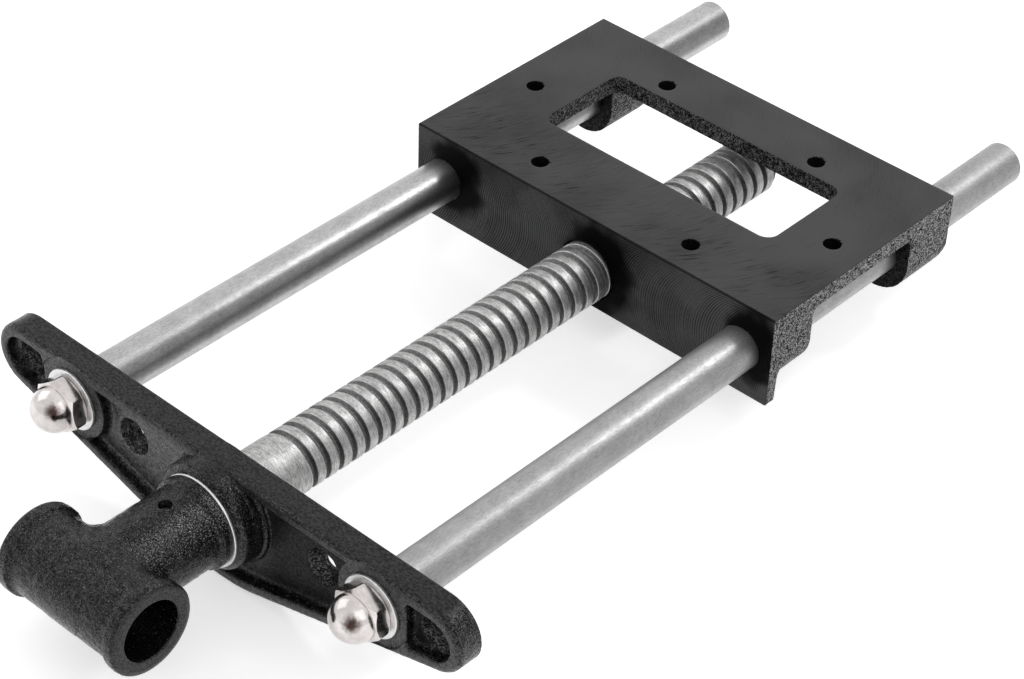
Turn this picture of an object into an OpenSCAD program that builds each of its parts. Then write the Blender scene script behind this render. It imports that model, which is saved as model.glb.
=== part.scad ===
// Woodworking front vise: a bench bracket, two guide rods and a lead screw carry a front plate.
// X runs across the bench, Y from the front plate to the bench, Z up, in millimetres.
// The origin is the middle of the four bench holes, on the bracket's top face.

/* [Bench bracket] */
// Width of the bracket across the bench
bracket_w = 203; // [196:1:215]
// Depth of the bracket's plate along the rods
bracket_d = 125; // [118:1:140]
// Thickness of the bracket's plate
plate_t = 9; // [7:0.5:11]
// Height of the front flange below the top face
flange_h = 45; // [43:1:55]
// Thickness of the flange at its lower edge
flange_edge_t = 6; // [5:0.5:8]
// Growth of the flange's thickness from its lower edge to the plate
flange_draft = 2.4; // [1:0.2:4]
// Length of the front bosses that guide the rods
boss_len = 28; // [20:1:32]
// Length of the rear lugs that guide the rods
lug_len = 30; // [20:1:32]
// Wall of the bosses and lugs below a rod
boss_wall = 8.2; // [6:0.2:10]
// Radius of the rounded lower rear corner of the bosses and lugs
boss_corner_r = 4; // [2:0.5:6]
// Radius of the fillets between the plate and what hangs from it
cast_fillet_r = 3; // [1:0.5:5]
// Width of the window in the plate
window_w = 129.4; // [100:1:132]
// Length of the window along the rods
window_d = 51; // [40:1:52]
// Distance of the window from the front face
window_front = 42.3; // [42:0.5:46]
// Corner radius of the window
window_r = 6; // [3:0.5:10]

/* [Bench holes] */
// Distance between the holes of the square pattern
hole_pitch = 86; // [84:1:92]
// Distance of the front row of holes from the front face
hole_front = 16.4; // [14:0.2:18]
// Diameter of the bench holes
hole_d = 8; // [6:0.5:10]

/* [Guide rods] */
// Diameter of the guide rods
rod_d = 20; // [18:0.5:21]
// Distance between the axes of the two rods
rod_spacing = 170.4; // [168:0.4:173]
// Depth of the rod axes below the top face
rod_drop = 22.3; // [21:0.1:24]
// Length of the rods behind the bracket
rod_tail = 65.5; // [55:0.5:120]
// Chamfer on the rear ends of the rods
rod_chamfer = 1; // [0.5:0.1:2]
// Diameter of the rods' front studs
stud_d = 14; // [12:0.5:15]
// Radial clearance between a rod and its bore
rod_clearance = 0.05; // [0.02:0.01:0.09]

/* [Lead screw] */
// Diameter of the lead screw over its crests
screw_d = 28; // [24:1:29]
// Depth of the screw axis below the top face
screw_drop = 28; // [27:0.5:30]
// Distance that one turn moves the jaw
screw_pitch = 7.25; // [6.5:0.25:8]
// Depth of the thread groove
groove_depth = 2.4; // [1.8:0.1:2.8]
// Width of the thread groove at the crest
groove_open_w = 3; // [2.6:0.1:3.4]
// Width of the thread groove at its floor
groove_floor_w = 1.9; // [1.6:0.1:2.2]
// Length of the plain neck between the front plate and the thread
neck_len = 22; // [16:1:30]
// Length of the screw behind the front face of the bracket
screw_tail = 117; // [100:1:124]
// Chamfer on the rear end of the screw
screw_chamfer = 2.5; // [1.5:0.5:3]
// Diameter of the journal that turns in the front plate
journal_d = 22; // [18:1:23]
// Depth that the journal reaches into the hub
journal_socket = 24.5; // [22:0.5:26]
// Radial clearance between the journal and the front plate
journal_clearance = 0.05; // [0.02:0.01:0.09]

/* [Lead nut] */
// Outer diameter of the threaded nut in the bracket
nut_d = 36; // [34:1:37]
// Length of the nut
nut_len = 32; // [24:1:32]
// Wall of the bracket's boss round the nut
nut_boss_wall = 4; // [3:0.5:5]
// Thickness of the shoulder in front of the nut
nut_shoulder = 8; // [6:0.5:8]
// Radial gap between the screw and the shoulder's hole
shoulder_gap = 0.5; // [0.4:0.1:1.5]
// Clearance between the nut's thread and the screw's thread
thread_clearance = 0.25; // [0.15:0.05:0.3]

/* [Front plate] */
// Width of the front plate
jaw_w = 261.6; // [250:0.8:280]
// Distance of the front plate from the bracket as drawn
jaw_gap = 204.5; // [150:0.5:240]
// Thickness of the front plate at its rim
jaw_t = 12; // [10:0.5:15]
// Depth of the plate's upper edge below the top face
jaw_top_drop = 3.7; // [3:0.1:4]
// Height of the plate at its ends
jaw_end_h = 26.7; // [26:0.1:32]
// Height that the plate's lower edge gains towards the middle
jaw_belly_h = 37; // [34:1:44]
// Radius of the plate's end corners
jaw_end_r = 15.2; // [12:0.2:15.2]
// Radius of the plate's lower middle
jaw_belly_r = 75; // [60:5:100]
// Width of the raised rim
rim_w = 5.8; // [4.8:0.2:6.4]
// Thickness of the plate's recessed floor
jaw_floor_t = 6.4; // [5.6:0.2:7.4]
// Rounding of the rim's front edge
rim_round = 3; // [1.5:0.5:3.5]
// Distance of the end pockets from the middle
pocket_x = 102.6; // [102.2:0.2:105]
// Corner radius at the inner side of an end pocket
pocket_r = 3; // [2:0.5:4]
// Radius of the pads under the rod washers
pad_r = 18.5; // [15.5:0.5:18.5]
// Depth of the pads behind the rim's face
pad_drop = 1.1; // [0.5:0.1:2]
// Radius of the boss that carries the screw
jaw_boss_r = 24; // [21.5:0.5:24]
// Height of the boss above the rim's face
jaw_boss_h = 7.6; // [4:0.2:9]
// Rounding of the boss's front edge
jaw_boss_round = 3.2; // [1:0.2:3.4]
// Radius of the low step round the boss
boss_step_r = 25.6; // [24.6:0.2:27]
// Height of that step above the recessed floor
boss_step_h = 2; // [1:0.2:3]

/* [Jaw screw holes] */
// Distance of the inner holes from the middle
inner_hole_x = 54; // [46:0.5:56]
// Depth of the inner holes below the top face
inner_hole_drop = 27.2; // [24:0.2:30]
// Distance of the outer holes from the ends of the plate
outer_hole_inset = 16.2; // [15.8:0.2:17]
// Depth of the outer holes below the top face
outer_hole_drop = 20.6; // [20:0.2:21.6]
// Diameter of the recess for a jaw screw's head
head_d = 17; // [13:0.5:17]
// Diameter to which that recess tapers
head_seat_d = 10; // [8:0.5:12]
// Depth of the recess for a jaw screw's head
head_depth = 4.2; // [3:0.2:4.6]
// Diameter of the holes for the jaw screws
jaw_screw_d = 6.5; // [5:0.5:8]

/* [Washers and cap nuts] */
// Outer diameter of the rod washers
rod_washer_d = 27.6; // [25:0.2:30]
// Inner diameter of the rod washers
rod_washer_bore = 15; // [15:0.1:16]
// Thickness of the rod washers
rod_washer_t = 1.5; // [1:0.1:3]
// Width of the cap nuts across their flats
cap_nut_w = 22; // [21:0.5:24]
// Length of the cap nuts' hexagon
cap_nut_hex = 7.6; // [6:0.2:9]
// Radius of the cap nuts' dome
cap_nut_dome_r = 10.1; // [9.8:0.05:10.45]
// Depth of a stud inside its cap nut
stud_grip = 12; // [10:0.5:13]
// Outer diameter of the thrust washer
thrust_washer_d = 42.2; // [40:0.2:44]
// Thickness of the thrust washer
thrust_washer_t = 1.3; // [1:0.1:3]
// Radial gap round the journal in the thrust washer
thrust_washer_gap = 0.4; // [0.2:0.1:1]

/* [Handle hub] */
// Distance of the handle's axis from the front of the thrust washer
hub_reach = 52.9; // [50:0.1:60]
// Radius of the hub's shank
shank_r = 18.5; // [17:0.5:19]
// Radius of the collar at the foot of the shank
collar_r = 20.2; // [19.4:0.2:21]
// Length of the collar
collar_len = 4.5; // [3:0.5:6]
// Length of the cross barrel
barrel_len = 65.6; // [60:0.4:80]
// Radius of the barrel between its end rings
barrel_r = 18.2; // [17.2:0.2:18.4]
// Radius of the barrel's end rings
ring_r = 19.9; // [19:0.1:21]
// Length of an end ring
ring_len = 5.5; // [4:0.5:8]
// Rounding of the end rings' edges
ring_round = 1.2; // [0.5:0.1:1.6]
// Diameter of the hole for the handle
handle_bore_d = 26.2; // [24:0.2:27]
// Diameter of the pin that locks the hub to the screw
pin_d = 5; // [4:0.5:6]
// Length of the pin
pin_len = 30; // [26:1:34]
// Distance of the pin from the front of the thrust washer
pin_reach = 15.8; // [12:0.2:18]

/* [Hidden] */
$fn = 96;

// Overrun of every cut past the face that it opens
cut = 1;
// Steps of the thread in one turn
thread_steps = 20;
// Steps over which the groove sinks in at the ends of the thread
groove_fade_steps = 7;
// Straight pieces in each rounded corner of the front plate
corner_steps = 8;
// Shares of the rim's rounding that its middle step goes back and in
round_back_share = 0.35;
round_in_share = 0.25;
// Length of the cap nuts' cylindrical collar below the dome
dome_collar = 0.3;
// Lengths of the front and rear chamfers on the corners of the cap nuts' hexagon
hex_front_chamfer = 1.2;
hex_rear_chamfer = 2;
// What the chamfers take off the flats at the hexagon's ends
hex_land = 0.4;
// Turn of the tightened hexagon from the place where a corner is at the side
hex_turn = 36;
// Depth of the thread's crests below the screw's plain neck
crest_relief = 0.1;

// Y of the bracket's front face
face_y = -(hole_front + hole_pitch / 2);
rod_r = rod_d / 2 - rod_clearance;
rod_x = rod_spacing / 2;
stud_r = stud_d / 2;
screw_r = screw_d / 2;
journal_r = journal_d / 2;
nut_r = nut_d / 2;
nut_boss_r = nut_r + nut_boss_wall;
nut_back = nut_shoulder + nut_len;
// The bosses and lugs are flush with the bracket's sides
boss_r = bracket_w / 2 - rod_x;
boss_drop = rod_drop + rod_d / 2 + boss_wall - boss_r;
flange_root_t = flange_edge_t + flange_draft;

// Y places along the screw, counted from the bracket's front face
jaw_back = -jaw_gap;
jaw_front = jaw_back - jaw_t;
jaw_floor = jaw_back - jaw_floor_t;
pad_face = jaw_front + pad_drop;
boss_face = jaw_front - jaw_boss_h;
hub_foot = boss_face - thrust_washer_t;
barrel_y = hub_foot - hub_reach;
washer_face = pad_face - rod_washer_t;
hex_front = washer_face - cap_nut_hex;
dome_y = hex_front - dome_collar;
stud_end = washer_face - stud_grip;
journal_end = hub_foot - journal_socket;
thread_start = jaw_back + neck_len;
// Whole turns of the thread, and those that lie before and inside the nut
groove_start = thread_start + groove_open_w / 2;
screw_turns = floor((screw_tail - groove_start) / screw_pitch);
nut_turn = floor((nut_shoulder - groove_start) / screw_pitch) - 1;
nut_turns = ceil(nut_len / screw_pitch) + 3;

// Corners of the front plate in X and Z, anticlockwise from the lower middle
jaw_half_w = jaw_w / 2;
outer_hole_x = jaw_half_w - outer_hole_inset;
jaw_side_z = -jaw_top_drop - jaw_end_h;
jaw_corners = [
    [0, jaw_side_z - jaw_belly_h], [jaw_half_w, jaw_side_z], [jaw_half_w, -jaw_top_drop],
    [-jaw_half_w, -jaw_top_drop], [-jaw_half_w, jaw_side_z]
];
jaw_radii = [jaw_belly_r, jaw_end_r, jaw_end_r, jaw_end_r, jaw_end_r];
// Corners of the right end pocket, drawn a rim's width outside the pocket
pocket_in_x = pocket_x - rim_w;
pocket_corners = [
    [pocket_in_x, jaw_side_z - jaw_belly_h * (1 - pocket_in_x / jaw_half_w)],
    [jaw_half_w, jaw_side_z], [jaw_half_w, -jaw_top_drop], [pocket_in_x, -jaw_top_drop]
];
pocket_radii = [pocket_r + rim_w, jaw_end_r, jaw_end_r, pocket_r + rim_w];

function unit(v) = v / norm(v);

// Centre of the arc of radius r that rounds corner b between a and c
function arc_centre(a, b, c, r) =
    let (to_a = unit(a - b), to_c = unit(c - b))
    b + unit(to_a + to_c) * r / sin(acos(to_a * to_c) / 2);

// Direction, in degrees, that points out of the edge from a to b
function outward(a, b) = atan2(a[0] - b[0], b[1] - a[1]);

// Points of a convex outline with rounded corners, moved inwards by inset
function rounded(corners, radii, inset) = [
    for (i = [0 : len(corners) - 1])
        let (
            a = corners[(i + len(corners) - 1) % len(corners)],
            b = corners[i],
            c = corners[(i + 1) % len(corners)],
            centre = arc_centre(a, b, c, radii[i]),
            from = outward(a, b),
            sweep = (outward(b, c) - from + 360) % 360
        )
        for (k = [0 : corner_steps])
            let (angle = from + sweep * k / corner_steps)
            centre + (radii[i] - inset) * [cos(angle), sin(angle)]
];

// Counts Y from the bracket's front face
module from_face() {
    translate([0, face_y, 0]) children();
}

// Stretches a section drawn in Y and Z across X, over a width centred on x
module across(x, width) {
    translate([x - width / 2, 0, 0]) rotate([90, 0, 90]) linear_extrude(width) children();
}

// Stretches a section drawn in X and Z along Y
module along(y_from, y_to) {
    translate([0, y_to, 0]) rotate([90, 0, 0]) linear_extrude(y_to - y_from) children();
}

// Turns a profile drawn in radius and Y about an axis along Y
module turned(x, z) {
    translate([x, 0, z]) rotate([-90, 0, 0]) rotate_extrude() children();
}

// Round bar along Y
module bar(x, z, r, y_from, y_to) {
    translate([x, y_from, z]) rotate([-90, 0, 0]) cylinder(r = r, h = y_to - y_from);
}

// Flat ring along Y
module ring(x, z, r, bore_r, y_from, y_to) {
    turned(x, z) translate([bore_r, y_from]) square([r - bore_r, y_to - y_from]);
}

// Rectangle with rounded corners, centred
module rounded_rect(w, d, r) {
    square([w - 2 * r, d], center = true);
    square([w, d - 2 * r], center = true);
    for (x = [-1, 1], y = [-1, 1])
        translate([x * (w / 2 - r), y * (d / 2 - r)]) circle(r);
}

// Fills an inner corner at the origin, open towards +Y and -Z
module fillet(r) {
    difference() {
        translate([0, -r]) square(r);
        translate([r, -r]) circle(r);
    }
}

// What a rounded corner takes off at the origin, where material lies towards -Y and +Z
module corner_waste(r) {
    difference() {
        translate([-r, -cut]) square(r + cut);
        translate([-r, r]) circle(r);
    }
}

// Plate and front flange of the bracket, seen from the side
module bracket_section() {
    polygon([
        [0, 0], [bracket_d, 0], [bracket_d, -plate_t], [flange_root_t, -plate_t],
        [flange_edge_t, -flange_h], [0, -flange_h]
    ]);
    translate([flange_root_t, -plate_t]) fillet(cast_fillet_r);
}

// Block with a half-round underside that hangs from the plate round an axis along Y
module hanging_boss(x, drop, r, y_from, y_to) {
    difference() {
        along(y_from, y_to) {
            translate([x, -drop]) circle(r);
            translate([x - r, -drop]) square([2 * r, drop]);
        }
        translate([0, y_to, -drop - r]) across(x, 2 * (r + cut)) corner_waste(boss_corner_r);
    }
}

// Boss behind the flange and lug at the rear that guide the rod at x
module rod_guide(x) {
    lug_front = bracket_d - lug_len;
    hanging_boss(x, boss_drop, boss_r, 0, boss_len);
    hanging_boss(x, boss_drop, boss_r, lug_front, bracket_d);
    translate([0, boss_len, -plate_t]) across(x, 2 * boss_r) fillet(cast_fillet_r);
    translate([0, lug_front, -plate_t]) mirror([0, 1, 0])
        across(x, 2 * boss_r) fillet(cast_fillet_r);
}

// Opening in the middle of the plate
module window() {
    translate([0, window_front + window_d / 2, -plate_t - cut])
        linear_extrude(plate_t + 2 * cut) rounded_rect(window_w, window_d, window_r);
}

// Four holes in a square and one at each side, down through the plate
module bench_holes() {
    middle = hole_front + hole_pitch / 2;
    square_holes = [
        for (x = [-1, 1], y = [-1, 1]) [x * hole_pitch / 2, middle + y * hole_pitch / 2]
    ];
    for (p = concat(square_holes, [[-rod_x, middle], [rod_x, middle]]))
        translate([p[0], p[1], -plate_t - cut]) cylinder(d = hole_d, h = plate_t + 2 * cut);
}

module body_casting() color([0.16, 0.16, 0.17]) from_face() difference() {
    union() {
        across(0, bracket_w) bracket_section();
        hanging_boss(0, screw_drop, nut_boss_r, flange_edge_t, nut_back);
        for (x = [-rod_x, rod_x]) rod_guide(x);
    }
    window();
    bench_holes();
    for (x = [-rod_x, rod_x]) bar(x, -rod_drop, rod_d / 2, -cut, bracket_d + cut);
    bar(0, -screw_drop, screw_r + shoulder_gap, -cut, nut_shoulder + cut);
    bar(0, -screw_drop, nut_r, nut_shoulder, nut_back + cut);
}

// Right-hand threaded bar along Y as one skin. Its groove starts as a point on the crest, below
// the axis at y_from, sinks in, runs for whole turns and fades out again below the axis.
module threaded_bar(crest_r, floor_r, open_w, floor_w, y_from, turns, y_front, y_rear) {
    last = turns * thread_steps;
    tip = 2 * thread_steps;
    // Direction out of the axis at step s, turning from -Z towards -X
    function out(s) = let (a = 360 * s / thread_steps) [-sin(a), 0, -cos(a)];
    function on_bar(s, r, shift) =
        r * out(s) + [0, y_from + screw_pitch * s / thread_steps + shift, 0];
    function sunk(s) = min(1, s / groove_fade_steps, (last - s) / groove_fade_steps);
    function end_ring(y) = [for (s = [0 : thread_steps - 1]) crest_r * out(s) + [0, y, 0]];
    // Each step has four points: front crest edge, front floor edge, rear floor and rear crest
    points = concat(
        end_ring(y_front), end_ring(y_rear), [on_bar(0, crest_r, 0), on_bar(last, crest_r, 0)],
        [for (s = [1 : last - 1]) each
            let (k = sunk(s), r = crest_r - k * (crest_r - floor_r))
            [
                on_bar(s, crest_r, -k * open_w / 2), on_bar(s, r, -k * floor_w / 2),
                on_bar(s, r, k * floor_w / 2), on_bar(s, crest_r, k * open_w / 2)
            ]]
    );
    function front(s) = s % thread_steps;
    function rear(s) = thread_steps + s % thread_steps;
    function at(s, j) = s == 0 ? tip : s == last ? tip + 1 : tip + 2 + 4 * (s - 1) + j;
    // Triangles of the four-sided patch a, b, c, d, of which two neighbours may be one point
    function patch(a, b, c, d) = [if (a != b) [a, b, c], if (c != d) [a, c, d]];
    groove = [for (s = [0 : last - 1], j = [0 : 2]) each
        patch(at(s, j), at(s, j + 1), at(s + 1, j + 1), at(s + 1, j))];
    crest = [for (s = [0 : last - thread_steps - 1]) each
        patch(at(s, 3), at(s + thread_steps, 0), at(s + thread_steps + 1, 0), at(s + 1, 3))];
    front_land = [for (s = [0 : thread_steps - 2]) each
        patch(front(s), at(s, 0), at(s + 1, 0), front(s + 1))];
    rear_land = [for (s = [last - thread_steps + 1 : last - 1]) each
        patch(at(s, 3), rear(s), rear(s + 1), at(s + 1, 3))];
    // The land's last patch at each end also has the groove's end point on its edge
    fl = thread_steps - 1;
    rl = last - thread_steps;
    seams = [
        [front(fl), at(fl, 0), tip], [at(fl, 0), at(fl + 1, 0), tip], [front(fl), tip, front(0)],
        [at(rl, 3), tip + 1, at(rl + 1, 3)], [tip + 1, rear(0), rear(1)],
        [tip + 1, rear(1), at(rl + 1, 3)]
    ];
    caps = [
        [for (s = [0 : thread_steps - 1]) front(s)],
        [for (s = [thread_steps - 1 : -1 : 0]) rear(s)]
    ];
    polyhedron(points, concat(groove, crest, front_land, rear_land, seams, caps));
}

module lead_nut() color([0.55, 0.55, 0.56]) from_face() difference() {
    tap_start = groove_start + nut_turn * screw_pitch;
    bar(0, -screw_drop, nut_r, nut_shoulder, nut_back);
    translate([0, 0, -screw_drop]) threaded_bar(
        outside(screw_r + thread_clearance),
        outside(screw_r - groove_depth + thread_clearance),
        groove_open_w - 2 * thread_clearance, groove_floor_w - 2 * thread_clearance,
        tap_start, nut_turns, tap_start - screw_pitch, tap_start + (nut_turns + 1) * screw_pitch
    );
}

// Radius of the corners of a threaded bar whose flats lie at r
function outside(r) = r / cos(180 / thread_steps);

module lead_screw() color([0.72, 0.72, 0.73]) from_face() difference() {
    union() {
        bar(0, -screw_drop, journal_r, journal_end, jaw_back);
        bar(0, -screw_drop, screw_r, jaw_back, thread_start);
        translate([0, 0, -screw_drop]) threaded_bar(
            screw_r - crest_relief, screw_r - groove_depth, groove_open_w, groove_floor_w,
            groove_start, screw_turns, thread_start, screw_tail
        );
    }
    turned(0, -screw_drop) polygon([
        [screw_r + cut, screw_tail - screw_chamfer - cut], [screw_r + cut, screw_tail + cut],
        [screw_r - screw_chamfer - cut, screw_tail + cut]
    ]);
    pin_hole();
}

// Hole for the pin, down through the hub and the screw's journal
module pin_hole() {
    translate([0, hub_foot - pin_reach, -screw_drop - collar_r - cut])
        cylinder(d = pin_d, h = 2 * (collar_r + cut));
}

module hub_pin() color([0.5, 0.5, 0.52]) from_face()
    translate([0, hub_foot - pin_reach, -screw_drop - pin_len / 2])
        cylinder(d = pin_d, h = pin_len);

// Rod with a stud at its front that ends inside the cap nut
module guide_rod(x) color([0.74, 0.74, 0.74]) from_face() {
    rear = bracket_d + rod_tail;
    turned(x, -rod_drop) polygon([
        [0, stud_end], [stud_r, stud_end], [stud_r, jaw_back], [rod_r, jaw_back],
        [rod_r, rear - rod_chamfer], [rod_r - rod_chamfer, rear], [0, rear]
    ]);
}

module guide_rod_left() guide_rod(-rod_x);
module guide_rod_right() guide_rod(rod_x);

// Outer form of the front plate, its front edge rounded
module jaw_blank() {
    back = rim_round * round_back_share;
    in = rim_round * round_in_share;
    hull() {
        along(jaw_front + rim_round, jaw_back) polygon(rounded(jaw_corners, jaw_radii, 0));
        along(jaw_front + back, jaw_back) polygon(rounded(jaw_corners, jaw_radii, in));
        along(jaw_front, jaw_back) polygon(rounded(jaw_corners, jaw_radii, rim_round));
    }
}

// Recess between the rod pads, less deep on the step round the boss
module middle_recess() difference() {
    along(jaw_front - cut, jaw_floor) difference() {
        intersection() {
            polygon(rounded(jaw_corners, jaw_radii, rim_w));
            square([rod_spacing, 2 * flange_h], center = true);
        }
        for (x = [-rod_x, rod_x]) translate([x, -rod_drop]) circle(pad_r);
    }
    bar(0, -screw_drop, boss_step_r, jaw_floor - boss_step_h, jaw_floor + cut);
}

// Recess at the end of the plate, on the right or mirrored to the left
module end_pocket() along(jaw_front - cut, jaw_floor)
    polygon(rounded(pocket_corners, pocket_radii, rim_w));

// Hole for a jaw screw with a tapered recess for its head in the floor
module jaw_screw_hole(x, z) {
    seat = jaw_floor + head_depth;
    bar(x, z, jaw_screw_d / 2, jaw_front - cut, jaw_back + cut);
    turned(x, z) polygon([
        [0, jaw_front - cut], [head_d / 2, jaw_front - cut], [head_d / 2, jaw_floor],
        [head_seat_d / 2, seat], [0, seat]
    ]);
}

module front_plate() color([0.13, 0.13, 0.14]) from_face() difference() {
    union() {
        difference() {
            jaw_blank();
            middle_recess();
            end_pocket();
            mirror([1, 0, 0]) end_pocket();
            for (x = [-rod_x, rod_x]) bar(x, -rod_drop, pad_r, jaw_front - cut, pad_face);
        }
        turned(0, -screw_drop) boss_profile();
    }
    for (x = [-rod_x, rod_x]) bar(x, -rod_drop, stud_r, jaw_front - cut, jaw_back + cut);
    bar(0, -screw_drop, journal_r + journal_clearance, boss_face - cut, jaw_back + cut);
    for (side = [-1, 1]) {
        jaw_screw_hole(side * inner_hole_x, -inner_hole_drop);
        jaw_screw_hole(side * outer_hole_x, -outer_hole_drop);
    }
}

// Half section of the plate's boss, its front edge rounded
module boss_profile() {
    r = jaw_boss_round;
    translate([0, boss_face]) square([jaw_boss_r - r, jaw_back - boss_face]);
    translate([0, boss_face + r]) square([jaw_boss_r, jaw_back - boss_face - r]);
    translate([jaw_boss_r - r, boss_face + r]) circle(r);
}

module thrust_washer() color([0.85, 0.85, 0.85]) from_face() ring(
    0, -screw_drop, thrust_washer_d / 2, journal_r + thrust_washer_gap, hub_foot, boss_face
);

module rod_washer(x) color([0.85, 0.85, 0.85]) from_face()
    ring(x, -rod_drop, rod_washer_d / 2, rod_washer_bore / 2, washer_face, pad_face);

module rod_washer_left() rod_washer(-rod_x);
module rod_washer_right() rod_washer(rod_x);

// Half section of a cap nut's dome and of the collar between it and the hexagon
module dome_profile() {
    intersection() {
        translate([0, dome_y]) circle(cap_nut_dome_r);
        translate([0, dome_y - cap_nut_dome_r]) square(cap_nut_dome_r);
    }
    translate([0, dome_y]) square([cap_nut_dome_r, washer_face - dome_y]);
}

// Hexagon of a cap nut along Y, its corners chamfered at both ends
module cap_nut_hexagon(x) {
    corner_r = cap_nut_w / sqrt(3);
    end_r = cap_nut_w / 2 - hex_land;
    intersection() {
        translate([x, washer_face, -rod_drop]) rotate([90, 0, 0]) rotate([0, 0, hex_turn])
            cylinder(r = corner_r, h = cap_nut_hex, $fn = 6);
        turned(x, -rod_drop) polygon([
            [0, hex_front], [end_r, hex_front], [corner_r, hex_front + hex_front_chamfer],
            [corner_r, washer_face - hex_rear_chamfer], [end_r, washer_face], [0, washer_face]
        ]);
    }
}

// Closed nut with a domed end
module cap_nut(x) color([0.9, 0.88, 0.86]) from_face() difference() {
    union() {
        cap_nut_hexagon(x);
        turned(x, -rod_drop) dome_profile();
    }
    bar(x, -rod_drop, stud_r, stud_end, washer_face + cut);
}

module cap_nut_left() cap_nut(-rod_x);
module cap_nut_right() cap_nut(rod_x);

// Half section of the cross barrel in radius and X, with a rounded ring at each end
module barrel_profile() {
    half = barrel_len / 2;
    r = ring_round;
    neck = ring_r - barrel_r;
    translate([0, -half]) square([barrel_r, barrel_len]);
    for (side = [0, 1]) mirror([0, side]) translate([0, half]) {
        translate([0, -ring_len]) square([ring_r - r, ring_len]);
        translate([0, -ring_len]) square([ring_r, ring_len - r]);
        translate([ring_r - r, -r]) circle(r);
        translate([barrel_r, -ring_len]) difference() {
            translate([0, -neck]) square(neck);
            translate([neck, -neck]) circle(neck);
        }
    }
}

module handle_hub() color([0.13, 0.13, 0.14]) from_face() difference() {
    union() {
        bar(0, -screw_drop, shank_r, barrel_y, hub_foot);
        bar(0, -screw_drop, collar_r, hub_foot - collar_len, hub_foot);
        translate([0, barrel_y, -screw_drop]) rotate([0, 90, 0])
            rotate_extrude() barrel_profile();
    }
    translate([-barrel_len / 2 - cut, barrel_y, -screw_drop]) rotate([0, 90, 0])
        cylinder(d = handle_bore_d, h = barrel_len + 2 * cut);
    bar(0, -screw_drop, journal_r, journal_end, hub_foot + cut);
    pin_hole();
}

body_casting();
lead_nut();
front_plate();
guide_rod_left();
guide_rod_right();
lead_screw();
handle_hub();
hub_pin();
thrust_washer();
rod_washer_left();
rod_washer_right();
cap_nut_left();
cap_nut_right();
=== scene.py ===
"""Woodworking front vise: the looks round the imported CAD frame.

The castings are distance functions that are meshed and roughened, the rods, nuts and washers are
turned profiles, and the screw is one helical skin. Shapes are written in millimetres, in the row
frame; new_object turns them into metres.
"""

import math

import bmesh
import bpy
import numpy as np
from mathutils import Matrix, Vector, noise

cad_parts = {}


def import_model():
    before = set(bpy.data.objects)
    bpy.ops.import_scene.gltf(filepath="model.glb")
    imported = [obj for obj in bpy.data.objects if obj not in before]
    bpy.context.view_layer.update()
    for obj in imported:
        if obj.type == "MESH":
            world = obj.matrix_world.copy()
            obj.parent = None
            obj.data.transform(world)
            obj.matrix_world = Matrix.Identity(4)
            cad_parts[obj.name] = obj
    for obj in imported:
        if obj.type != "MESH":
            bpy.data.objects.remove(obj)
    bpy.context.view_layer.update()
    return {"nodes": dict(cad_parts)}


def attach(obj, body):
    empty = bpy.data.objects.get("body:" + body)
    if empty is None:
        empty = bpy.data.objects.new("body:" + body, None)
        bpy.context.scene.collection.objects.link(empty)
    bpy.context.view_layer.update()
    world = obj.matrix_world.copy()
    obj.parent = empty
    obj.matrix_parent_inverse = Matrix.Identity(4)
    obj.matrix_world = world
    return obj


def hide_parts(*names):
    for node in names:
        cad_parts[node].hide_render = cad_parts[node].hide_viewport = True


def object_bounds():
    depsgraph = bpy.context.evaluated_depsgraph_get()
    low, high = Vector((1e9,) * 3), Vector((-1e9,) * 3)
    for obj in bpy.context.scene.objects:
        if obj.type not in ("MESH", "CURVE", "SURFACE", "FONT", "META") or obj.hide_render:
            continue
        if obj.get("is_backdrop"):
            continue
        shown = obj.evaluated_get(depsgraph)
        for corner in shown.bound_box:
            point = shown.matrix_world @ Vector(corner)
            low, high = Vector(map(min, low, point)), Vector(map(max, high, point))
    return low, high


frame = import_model()

# Rods and screw of the CAD model
ROD_X, ROD_Z, ROD_R = 85.2, -22.3, 9.95
STUD_R, STUD_END, ROD_END = 7, -288.3, 131.1
SCREW_Z, SCREW_R, JOURNAL_R = -28.0, 14, 11
PITCH, CREST_R, GROOVE_DEPTH = 7.25, 13.9, 2.3
THREAD_START, THREAD_TURNS = -240.4, 41
NECK_END, SCREW_END = -241.9, 57.6          # front of the threaded part, and the screw's rear end
THREAD_SIDES = 72                           # points round the screw

# Bracket; y counts from its front face
FACE_Y = -59.4
BRACKET_HALF, BRACKET_DEPTH = 101.5, 125
TOP_T, FLANGE_T, FLANGE_H = 9, 6, 45        # top plate, foot of the flange, height of the flange
GUIDE_R, GUIDE_Z, GUIDE_LEN = 16.3, -24.2, 28   # iron round each rod
LUG_START = 95
NUT_BOSS_R, NUT_BOSS_END, NUT_R, NUT_START = 22, 40, 18, 8
WINDOW_HALF_X, WINDOW_Y, WINDOW_HALF_Y, WINDOW_R = 64.7, 67.8, 25.5, 6
BENCH_HOLES = ((43, 16.4), (43, 102.4), (ROD_X, 59.4))
BENCH_HOLE_R, ROD_BORE_R, SCREW_HOLE_R = 4, 10, 14.5

# Front plate
PLATE_BACK, PLATE_FRONT = -263.9, -275.9
PLATE_HALF, PLATE_TOP, PLATE_END_H, PLATE_DROP = 130.8, -3.7, 26.7, 37
PLATE_CORNER_R, RIM_W, FLOOR_T = 15.2, 5.8, 6.4
PAD_R, BOSS_R, BOSS_H = 18.5, 24, 7.6
JAW_HOLES, HEAD_R = ((54, -27.2), (114.6, -20.6)), 8.5

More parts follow.
